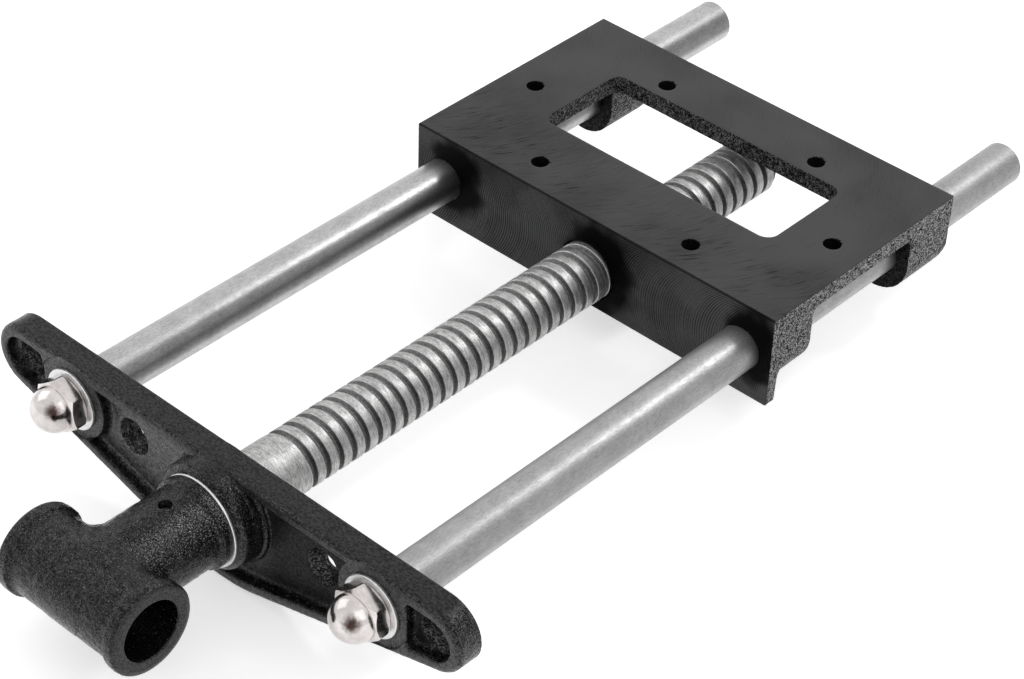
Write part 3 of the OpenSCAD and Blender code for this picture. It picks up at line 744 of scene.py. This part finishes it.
def plate_shape():
    """Distance to the front plate, which has a rimmed recess, end pockets, rod pads, boss and holes."""
    low = PLATE_TOP - PLATE_END_H
    outline = rounded_corners(
        [(0, low - PLATE_DROP), (PLATE_HALF, low), (PLATE_HALF, PLATE_TOP), (-PLATE_HALF, PLATE_TOP),
         (-PLATE_HALF, low)], [75] + 4 * [PLATE_CORNER_R])
    # Outline of an end pocket before the rim is taken off
    inner, inner_r = 102.6 - RIM_W, 8.8
    pocket = rounded_corners(
        [(inner, low - PLATE_DROP * (1 - inner / PLATE_HALF)), (PLATE_HALF, low),
         (PLATE_HALF, PLATE_TOP), (inner, PLATE_TOP)],
        [inner_r, PLATE_CORNER_R, PLATE_CORNER_R, inner_r])

    def f(x, y, z):
        ax = np.abs(x)
        d = convex(x, z, outline)
        rod = np.hypot(ax - ROD_X, z - ROD_Z)
        screw = np.hypot(x, z - SCREW_Z)
        floor = y - (PLATE_BACK - FLOOR_T)
        draft = (y - PLATE_FRONT) * 0.06
        blank = smax(smax(d, PLATE_FRONT - y, 3), y - PLATE_BACK, 0.5)
        middle = np.maximum(d + RIM_W, ax - ROD_X)
        middle = smax(middle, PAD_R - rod, 1)
        middle = smax(middle, BOSS_R - screw, 1)
        recess = np.minimum(middle, convex(ax, z, pocket) + RIM_W)
        recess = smax(recess + draft, floor, 1.8)
        body = smax(blank, -recess, 1.1)
        # The rod pads lie a little below the rim
        pad = np.maximum(rod - PAD_R, y - (PLATE_FRONT + 1.1))
        body = smax(body, -pad, 0.4)
        step = np.maximum(np.maximum(screw - BOSS_R - 1.6, d + 3), PLATE_BACK - FLOOR_T - 2 - y)
        body = smin(body, np.maximum(step, y - PLATE_BACK), 0.6)
        boss = smax(screw - BOSS_R, PLATE_FRONT - BOSS_H - y, 3.2)
        body = smin(body, np.maximum(boss, y - PLATE_BACK), 0.8)
        body = np.maximum(body, d)
        body = smax(body, STUD_R + CLEARANCE - rod, 0.3)
        body = smax(body, JOURNAL_R + CLEARANCE - screw, 0.3)
        for hx, hz in JAW_HOLES:
            r = np.hypot(ax - hx, z - hz)
            # A tapered recess with a flat seat; the second factor keeps its wall a distance
            wall = (r - HEAD_R + (y - PLATE_BACK + FLOOR_T) * 0.833) * 0.768
            taper = np.maximum(r - HEAD_R, wall)
            through = r - np.where(x < 0, 2.5, 3.2)
            well = np.minimum(np.maximum(taper, y - (PLATE_BACK - 2.2)), through)
            body = smax(body, -well, 0.5)
        return body
    return f


def make_plate():
    points, faces, normals = surface_nets(
        plate_shape(), (-132.5, -284.9, -67), (132.5, -262.5, -2.5), 0.65)
    x, y, z = points.T
    screw = np.hypot(x, z - SCREW_Z)
    rod = np.hypot(np.abs(x) - ROD_X, z - ROD_Z)
    boss_face = y < PLATE_FRONT - BOSS_H + 0.3
    pad_face = (rod < 14) & (y < PLATE_FRONT + 1.9)
    holes = (rod < STUD_R + 0.5) | (screw < JOURNAL_R + 0.5)
    machined = boss_face | pad_face | (y > PLATE_BACK - 0.4) | holes
    hx, hz = JAW_HOLES[0]
    recess = (np.hypot(np.abs(x) - hx, z - hz) < HEAD_R + 0.3) & (y > -270.0)
    # The top edge is smoother than the rest
    below = np.clip((-4.6 - z) / 2.0, 0, 1)
    share = np.where(machined, 0, np.where(recess, 0.8, 1)) * (0.25 + 0.75 * below)
    points = roughen(points, normals, share, (0.30, 2.0), (0.16, 1.0), 0.6)

    cx, cy, cz = points[faces].mean(1).T
    facing = normals[faces].mean(1)
    to_front = facing[:, 1] < -0.8
    materials = [DARK, RIM, BAND, FLOOR, WELL]
    dark, rim, band, floor, well = range(len(materials))
    index = np.full(len(faces), dark)
    index[to_front & (cy < PLATE_FRONT + 1.4) & (cy > PLATE_FRONT - 1)] = rim
    index[(facing[:, 2] > 0.75) & (cz > -5.5)] = band
    index[to_front & (cy > PLATE_FRONT + 4)] = floor
    for hx, hz in JAW_HOLES:
        index[(np.hypot(np.abs(cx) - hx, cz - hz) < HEAD_R + 0.2) & (cy > PLATE_BACK - 6.0)] = well
    new_object("plate", points, faces, "jaw", ["front_plate"], materials, index)


def hub_shape(x, y, z):
    """Distance to the hub: shank with collar, cross barrel with end rings, handle hole and socket."""
    ax = np.abs(x)
    shank = np.hypot(x, z - SCREW_Z)
    barrel = np.hypot(y - BARREL_Y, z - SCREW_Z)
    stem = np.maximum(shank - SHANK_R, np.maximum(BARREL_Y - y, y - HUB_FOOT))
    collar = smax(shank - COLLAR_R, slab(y, HUB_FOOT - COLLAR_LEN, HUB_FOOT), 0.9)
    cross = smax(barrel - BARREL_R, ax - BARREL_HALF, 1)
    ring = smax(barrel - RING_R, slab(ax, BARREL_HALF - RING_LEN, BARREL_HALF), 1.2)
    body = smin(stem, cross, 5)
    body = smin(body, collar, 1)
    body = smin(body, ring, 1.2)
    body = smax(body, HANDLE_R - barrel, 0.7)
    socket = np.maximum(shank - JOURNAL_R - CLEARANCE, HUB_FOOT - 24.5 - y)
    body = smax(body, -socket, 0.3)
    return smax(body, 2.55 - np.hypot(x, y - PIN_Y), 0.6)


def make_hub():
    points, faces, normals = surface_nets(hub_shape, (-34.5, -359.5, -50), (34.5, -283, -6), 0.5)
    x, y, z = points.T
    in_bore = np.hypot(y - BARREL_Y, z - SCREW_Z) < HANDLE_R + 0.5
    machined = in_bore | (y > HUB_FOOT - 0.4) | (np.hypot(x, z - SCREW_Z) < JOURNAL_R + 0.5)
    ring_face = np.abs(x) > BARREL_HALF - 0.3
    share = np.where(machined, 0, 1) * np.where(ring_face, 0.15, 1)
    points = roughen(points, normals, share, (0.40, 2.6, 2), (0.18, 1.1), 0.75)

    to_side = np.abs(normals[faces].mean(1)[:, 0]) > 0.9
    at_end = np.abs(points[faces].mean(1)[:, 0]) > BARREL_HALF - 0.5
    index = (to_side & at_end).astype(int)
    new_object("hub", points, faces, "screw", ["handle_hub"], [ENAMEL, RING], index)


# ---------------------------------------------------------------- turned pieces

def make_rod(side, name):
    """Ground rod with a stud at its front and a chamfer at its rear end."""
    profile = soft_edges(
        [(AXIS_R, STUD_END), (STUD_R, STUD_END), (STUD_R, PLATE_BACK), (ROD_R, PLATE_BACK),
         (ROD_R, ROD_END - 1), (ROD_R - 1, ROD_END), (AXIS_R, ROD_END)], [0.4, 0, 0.2, 0.35, 0.25])
    points, faces = rows_mesh([ring_row(side * ROD_X, ROD_Z, r, y, 160) for r, y in profile])
    obj = new_object(f"rod_{name}", points, faces, "jaw", [f"guide_rod_{name}"],
                     [GROUND[side]])
    mark_sharp(obj, 30)


def make_washer(name, node, body, x, z, outer, bore, front, back):
    middle = (bore, (front + back) / 2)
    loop = soft_edges([middle, (bore, front), (outer, front), (outer, back), (bore, back), middle],
                      [0.2, 0.45, 0.45, 0.2])
    points, faces = rows_mesh([ring_row(x, z, r, y, 128) for r, y in loop], closed=False)
    obj = new_object(name, points, faces, body, [node], [ZINC])
    mark_sharp(obj, 35)


def make_cap_nut(side, name):
    """Hexagon with chamfered corners and a dome."""
    flat_r, front, back = 11.0, -283.9, -276.3
    dome_y, dome_r, dome_steps = -284.2, 10.1, 24
    turn = math.radians(24)             # how the nut happens to be tightened
    a = np.arange(144) * 2 * math.pi / 144
    off = np.abs((a + math.pi / 6) % (math.pi / 3) - math.pi / 6)
    # The corners are rounded, and cones from a little inside the flats cut them at both ends
    corner = flat_r / math.cos(math.pi / 6)
    hexagon = np.minimum(flat_r / np.cos(off), corner - 0.28)
    cone = flat_r - 0.4

    def row(r, y):
        r, y = np.broadcast_to(r, a.shape), np.broadcast_to(y, a.shape)
        return list(zip(side * ROD_X + r * np.sin(a + turn), y, ROD_Z + r * np.cos(a + turn)))

    def chamfer(length):
        """Radii and depths below an end face, from the cone out to the flats."""
        depth = (hexagon - cone) * (length / (corner - cone))
        slope = [(cone + (hexagon - cone) * share, depth * share + 0.02 * share)
                 for share in (0.35, 0.8, 0.96)]
        return slope + [(hexagon - 0.01, depth + 0.12), (hexagon, depth + 0.35)]

    rows = []
    for k in range(dome_steps + 1):
        t = k / dome_steps * math.pi / 2
        rows.append(row(max(dome_r * math.sin(t), AXIS_R), dome_y - dome_r * math.cos(t)))
    rows += [row(dome_r, front), row(cone - 0.12, front), row(cone - 0.02, front + 0.02),
             row(cone + 0.08, front + 0.07)]
    rows += [row(r, front + depth) for r, depth in chamfer(1.2)]
    rows += [row(r, back - depth) for r, depth in chamfer(2.0)[::-1]]
    rows += [row(cone + 0.08, back - 0.07), row(cone - 0.12, back)]
    # The bore ends where the dome closes the nut
    rows += [row(STUD_R, back), row(STUD_R, STUD_END + 0.1)]
    points, faces = rows_mesh(rows)
    obj = new_object(f"cap_{name}", points, faces, "jaw", [f"cap_nut_{name}"], [NICKEL])
    mark_sharp(obj, 28)


def around(j):
    """Angle of a point of the screw; the first lies below the axis."""
    return 2 * math.pi * j / THREAD_SIDES


def thread_skin():
    """Right-hand thread as points, faces and share of the groove's depth; its rows follow the helix."""
    # Places along the axis from the groove's middle, and share of its depth, for half a pitch
    half = [(0, 1), (0.8, 1), (1.0, 0.97), (1.14, 0.86), (1.46, 0.12), (1.54, 0.03), (1.7, 0), (2.6, 0)]
    profile = half + [(PITCH - u, d) for u, d in half[:0:-1]]
    n = len(profile)
    steps, fade_steps = THREAD_SIDES * THREAD_TURNS, 0.35 * THREAD_SIDES
    points, groove = [], []
    for k in range(-2 * n, (THREAD_TURNS + 2) * n):
        u, d = profile[k % n]
        turn = k // n
        second = u > PITCH / 2
        for j in range(THREAD_SIDES):
            part = turn + j / THREAD_SIDES
            y = THREAD_START + PITCH * part + u
            # The groove's edges are ragged on the right side
            ragged = max(0.0, math.sin(2 * math.pi * (j / THREAD_SIDES - 0.72))) if d > 0 else 0.0
            y += 0.22 * ragged * noise.noise(part * Vector((11, 0, 0)) + Vector((0, second, 0)))
            y = min(max(y, NECK_END), SCREW_END)
            # The groove sinks in at the neck and fades out at the rear, which is chamfered
            step = turn * THREAD_SIDES + j + (THREAD_SIDES if second else 0)
            fade = min(max(step / fade_steps, 0), 1) * min(max((steps - step) / fade_steps, 0), 1)
            r = min(CREST_R - GROOVE_DEPTH * d * fade, SCREW_R - max(0, y - (SCREW_END - 2.5)))
            points.append((-r * math.sin(around(j)), y, SCREW_Z - r * math.cos(around(j))))
            groove.append(d * fade)
    rows = len(points) // THREAD_SIDES
    faces = []
    for k in range(rows - 1):
        for j in range(THREAD_SIDES):
            a = k * THREAD_SIDES + j
            d = a + THREAD_SIDES
            if j + 1 < THREAD_SIDES:
                faces.append((a, d, d + 1, a + 1))
            elif k + 1 + n < rows:
                # One turn on, the same place of the profile is n rows further
                b = (k + n) * THREAD_SIDES
                faces.append((a, d, b + THREAD_SIDES, b))
    return points, faces, groove


def make_screw():
    """Journal, neck, thread and rear end, joined into one skin."""
    points, faces, groove = thread_skin()

    def add_rings(profile):
        for i, (r, y) in enumerate(profile):
            first = len(points)
            for j in range(THREAD_SIDES):
                points.append((-r * math.sin(around(j)), y, SCREW_Z - r * math.cos(around(j))))
                groove.append(0.0)
                if i:
                    a, b = first - THREAD_SIDES, (j + 1) % THREAD_SIDES
                    faces.append((a + j, first + j, first + b, a + b))

    front = -309.3
    add_rings([(AXIS_R, front), (JOURNAL_R - 0.3, front), (JOURNAL_R, front + 0.3),
               (JOURNAL_R, PLATE_BACK), (SCREW_R - 0.2, PLATE_BACK), (SCREW_R, PLATE_BACK + 0.2),
               (SCREW_R, NECK_END - 0.2), (CREST_R, NECK_END)])
    add_rings([(r, SCREW_END) for r in (11.5, 11.2, 6, AXIS_R)])
    obj = new_object("screw", points, faces, "screw", ["lead_screw"], [THREAD])
    paint(obj, "groove", groove)
    bm = bmesh.new()
    bm.from_mesh(obj.data)
    bmesh.ops.remove_doubles(bm, verts=bm.verts, dist=2e-6)
    bmesh.ops.dissolve_degenerate(bm, edges=bm.edges, dist=1e-7)
    bmesh.ops.holes_fill(bm, edges=[e for e in bm.edges if e.is_boundary], sides=0)
    bmesh.ops.recalc_face_normals(bm, faces=bm.faces)
    bm.to_mesh(obj.data)
    bm.free()
    mark_sharp(obj, 50)


def make_pin():
    half = [(AXIS_R, PIN_HALF), (2.0, PIN_HALF), (2.4, PIN_HALF - 0.2), (PIN_R, PIN_HALF - 0.5)]
    a = np.arange(48) * 2 * math.pi / 48
    rows = [list(zip(r * np.cos(a), PIN_Y + r * np.sin(a), np.full(48, SCREW_Z + z)))
            for r, z in [(r, -z) for r, z in half] + half[::-1]]
    points, faces = rows_mesh(rows)
    obj = new_object("pin", points, faces, "screw", ["hub_pin"], [NUT])
    mark_sharp(obj, 35)


CAST = cast_black(
    "cast_black", low=0.0, high=0.33, roughness=0.36, grain=1.35, specular=(0.02, 0.75), depth=0.40,
    level=(0.475, 0.60))
WALL = cast_black(
    "window_wall", low=0.0, high=0.19, roughness=0.45, grain=1.6, specular=(0.02, 0.45), depth=0.40,
    level=(0.485, 0.61))
# A darker copy of the cast paint: painted shade on faces turned to the front
SHADED_CAST = cast_black(
    "cast_black_shaded", low=0.001, high=0.010, roughness=0.40, grain=1.3, specular=(0.02, 0.18), depth=0.40,
    level=(0.44, 0.62))
WELL = cast_black(
    "screw_recess", low=0.003, high=0.030, roughness=0.14, grain=0.9, specular=(0.10, 0.90), depth=0.60)
HOLE = smooth_paint("hole_wall", 0.004, roughness=0.6, specular=0.04)
TOP = machined_top()
FRONT = machined_front()
BORE = steel("bored_iron", 0.08, roughness=0.42)
# Plate paint: its small bright specks are painted glints
DARK = cast_black(
    "plate_paint", low=0.001, high=0.018, roughness=0.15, specular=(0.10, 0.70), depth=0.45,
    level=(0.42, 0.64), painted_glints=(0.66, 0.14))
RIM = cast_black(
    "plate_rim", low=0.006, high=0.050, roughness=0.30, grain=1.3, specular=(0.25, 0.6), depth=0.25)
BAND = smooth_paint("plate_band", 0.011, roughness=0.30, specular=0.28)
# The floor's peaks fade to the right of the boss: painted shade
FLOOR = cast_black(
    "plate_floor", low=0.006, high=0.080, roughness=0.30, grain=1.1, specular=(0.3, 1.0), depth=0.30,
    level=(0.40, 0.62), shade_along=(0, 4, 30, 0.14))
# Hub paint: painted glints, closer together on a painted sheen of the shank
ENAMEL = cast_black(
    "hub_enamel", low=0.001, high=0.008, roughness=0.12, specular=(0.10, 0.55), depth=0.35,
    level=(0.38, 0.66), painted_glints=(0.66, 0.16), hub_sheen=True)
RING = smooth_paint("hub_ring", 0.015, roughness=0.30)
ROD_STREAK = (3.0, 0.4, 3.0)
# Both rods are one steel; their different colour values are painted light, and each has a painted shade
# on its side that faces right
GROUND = {
    -1: steel("ground_rod_left", 0.53, roughness=0.38, mottle=0.50, streak=ROD_STREAK,
              shaded_side=(-ROD_X, ROD_Z, ROD_R, 0.4)),
    1: steel("ground_rod_right", 0.43, roughness=0.46, mottle=0.40, streak=ROD_STREAK,
             shaded_side=(ROD_X, ROD_Z, ROD_R, 0.72)),
}
THREAD = thread_steel()
NUT = steel("turned_nut", 0.30, roughness=0.38)
# Places of the painted reflection on each dome
NICKEL = nickel([(-ROD_X + 6.6, -290.4, -17.0), (ROD_X + 5.2, -290.9, -18.0)])
ZINC = zinc()

make_bracket()
make_plate()
make_hub()
for side, name in ((-1, "left"), (1, "right")):
    make_rod(side, name)
    make_cap_nut(side, name)
    make_washer(f"washer_{name}", f"rod_washer_{name}", "jaw", side * ROD_X, ROD_Z - 0.4,
                outer=13.8, bore=7.5, front=-276.3, back=-274.8)
make_washer("thrust_ring", "thrust_washer", "screw", 0.5, SCREW_Z - 0.3,
            outer=20.6, bore=11.4, front=HUB_FOOT, back=-283.5)
make_screw()
make_pin()
nut = frame["nodes"]["lead_nut"]
nut.data.materials.clear()
nut.data.materials.append(NUT)


# ---------------------------------------------------------------- camera, floor and light

def camera():
    """The photo's view, solved from the bench holes and the rods."""
    az, el, roll = (math.radians(v) for v in (41.471, 38.479, 2.115))
    back = Vector((math.sin(az) * math.cos(el), -math.cos(az) * math.cos(el), math.sin(el)))
    right = Vector((math.cos(az), math.sin(az), 0))
    up = back.cross(right)
    rolled_right = math.cos(roll) * right + math.sin(roll) * up
    rolled_up = -math.sin(roll) * right + math.cos(roll) * up
    data = bpy.data.cameras.new("camera")
    data.sensor_width = 36
    data.lens = 98.66
    data.clip_start, data.clip_end = 0.05, 50
    cam = bpy.data.objects.new("camera", data)
    place = Matrix((rolled_right, rolled_up, back)).transposed().to_4x4()
    place.translation = Vector((0.619394, -0.806725, 0.703543))
    cam.matrix_world = place
    bpy.context.scene.collection.objects.link(cam)
    bpy.context.scene.camera = cam


def backdrop_ray(tree, other, seen):
    """One strength for rays that light the object, another for camera, mirror and glass rays."""
    path = tree.nodes.new("ShaderNodeLightPath")
    value = path.outputs["Is Camera Ray"]
    for name in ("Is Glossy Ray", "Is Transmission Ray"):
        either = tree.nodes.new("ShaderNodeMath")
        either.operation = "MAXIMUM"
        tree.links.new(value, either.inputs[0])
        tree.links.new(path.outputs[name], either.inputs[1])
        value = either.outputs[0]
    strength = tree.nodes.new("ShaderNodeMapRange")
    tree.links.new(value, strength.inputs["Value"])
    strength.inputs["To Min"].default_value = other
    strength.inputs["To Max"].default_value = seen
    return strength.outputs[0]


def floor():
    """Pale floor that keeps the object's shadow and shows as nearly white."""
    size, z = 6.0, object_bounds()[0][2] - 0.0002
    mesh = bpy.data.meshes.new("floor")
    corners = [(-size, -size, z), (size, -size, z), (size, size, z), (-size, size, z)]
    mesh.from_pydata(corners, [], [(0, 1, 2, 3)])
    obj = bpy.data.objects.new("floor", mesh)
    bpy.context.scene.collection.objects.link(obj)
    mat = bpy.data.materials.new("pale_floor")
    mat.use_nodes = True
    tree = mat.node_tree
    tree.nodes.clear()
    out = tree.nodes.new("ShaderNodeOutputMaterial")
    diffuse = tree.nodes.new("ShaderNodeBsdfDiffuse")
    diffuse.inputs["Color"].default_value = (0.86, 0.86, 0.86, 1)
    glow = tree.nodes.new("ShaderNodeEmission")
    tree.links.new(backdrop_ray(tree, 0.0, 0.54), glow.inputs["Strength"])
    add = tree.nodes.new("ShaderNodeAddShader")
    tree.links.new(diffuse.outputs[0], add.inputs[0])
    tree.links.new(glow.outputs[0], add.inputs[1])
    tree.links.new(add.outputs[0], out.inputs["Surface"])
    mesh.materials.append(mat)
    obj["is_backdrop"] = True


def area(name, place, target, size, watts):
    data = bpy.data.lights.new(name, "AREA")
    data.shape = "RECTANGLE"
    data.size, data.size_y = size
    data.energy = watts
    lamp = bpy.data.objects.new(name, data)
    lamp.location = place
    lamp.rotation_euler = (Vector(target) - Vector(place)).to_track_quat("-Z", "Y").to_euler()
    bpy.context.scene.collection.objects.link(lamp)


def world():
    w = bpy.data.worlds.new("studio")
    bpy.context.scene.world = w
    w.use_nodes = True
    tree = w.node_tree
    tree.nodes.clear()
    out = tree.nodes.new("ShaderNodeOutputWorld")
    bg = tree.nodes.new("ShaderNodeBackground")
    bg.inputs["Color"].default_value = (1, 1, 1, 1)
    tree.links.new(backdrop_ray(tree, 0.65, 1.0), bg.inputs["Strength"])
    tree.links.new(bg.outputs[0], out.inputs["Surface"])


camera()
world()
floor()
middle = (0, -0.1, -0.03)
area("top_back", (0.45, 0.75, 1.05), middle, (0.28, 0.28), 4.5)
area("left", (-1.1, -0.5, 0.9), middle, (1.0, 1.0), 2.0)
area("right", (1.0, -0.4, 0.9), middle, (1.0, 1.0), 2.0)
bpy.context.scene.view_settings.view_transform = "Standard"
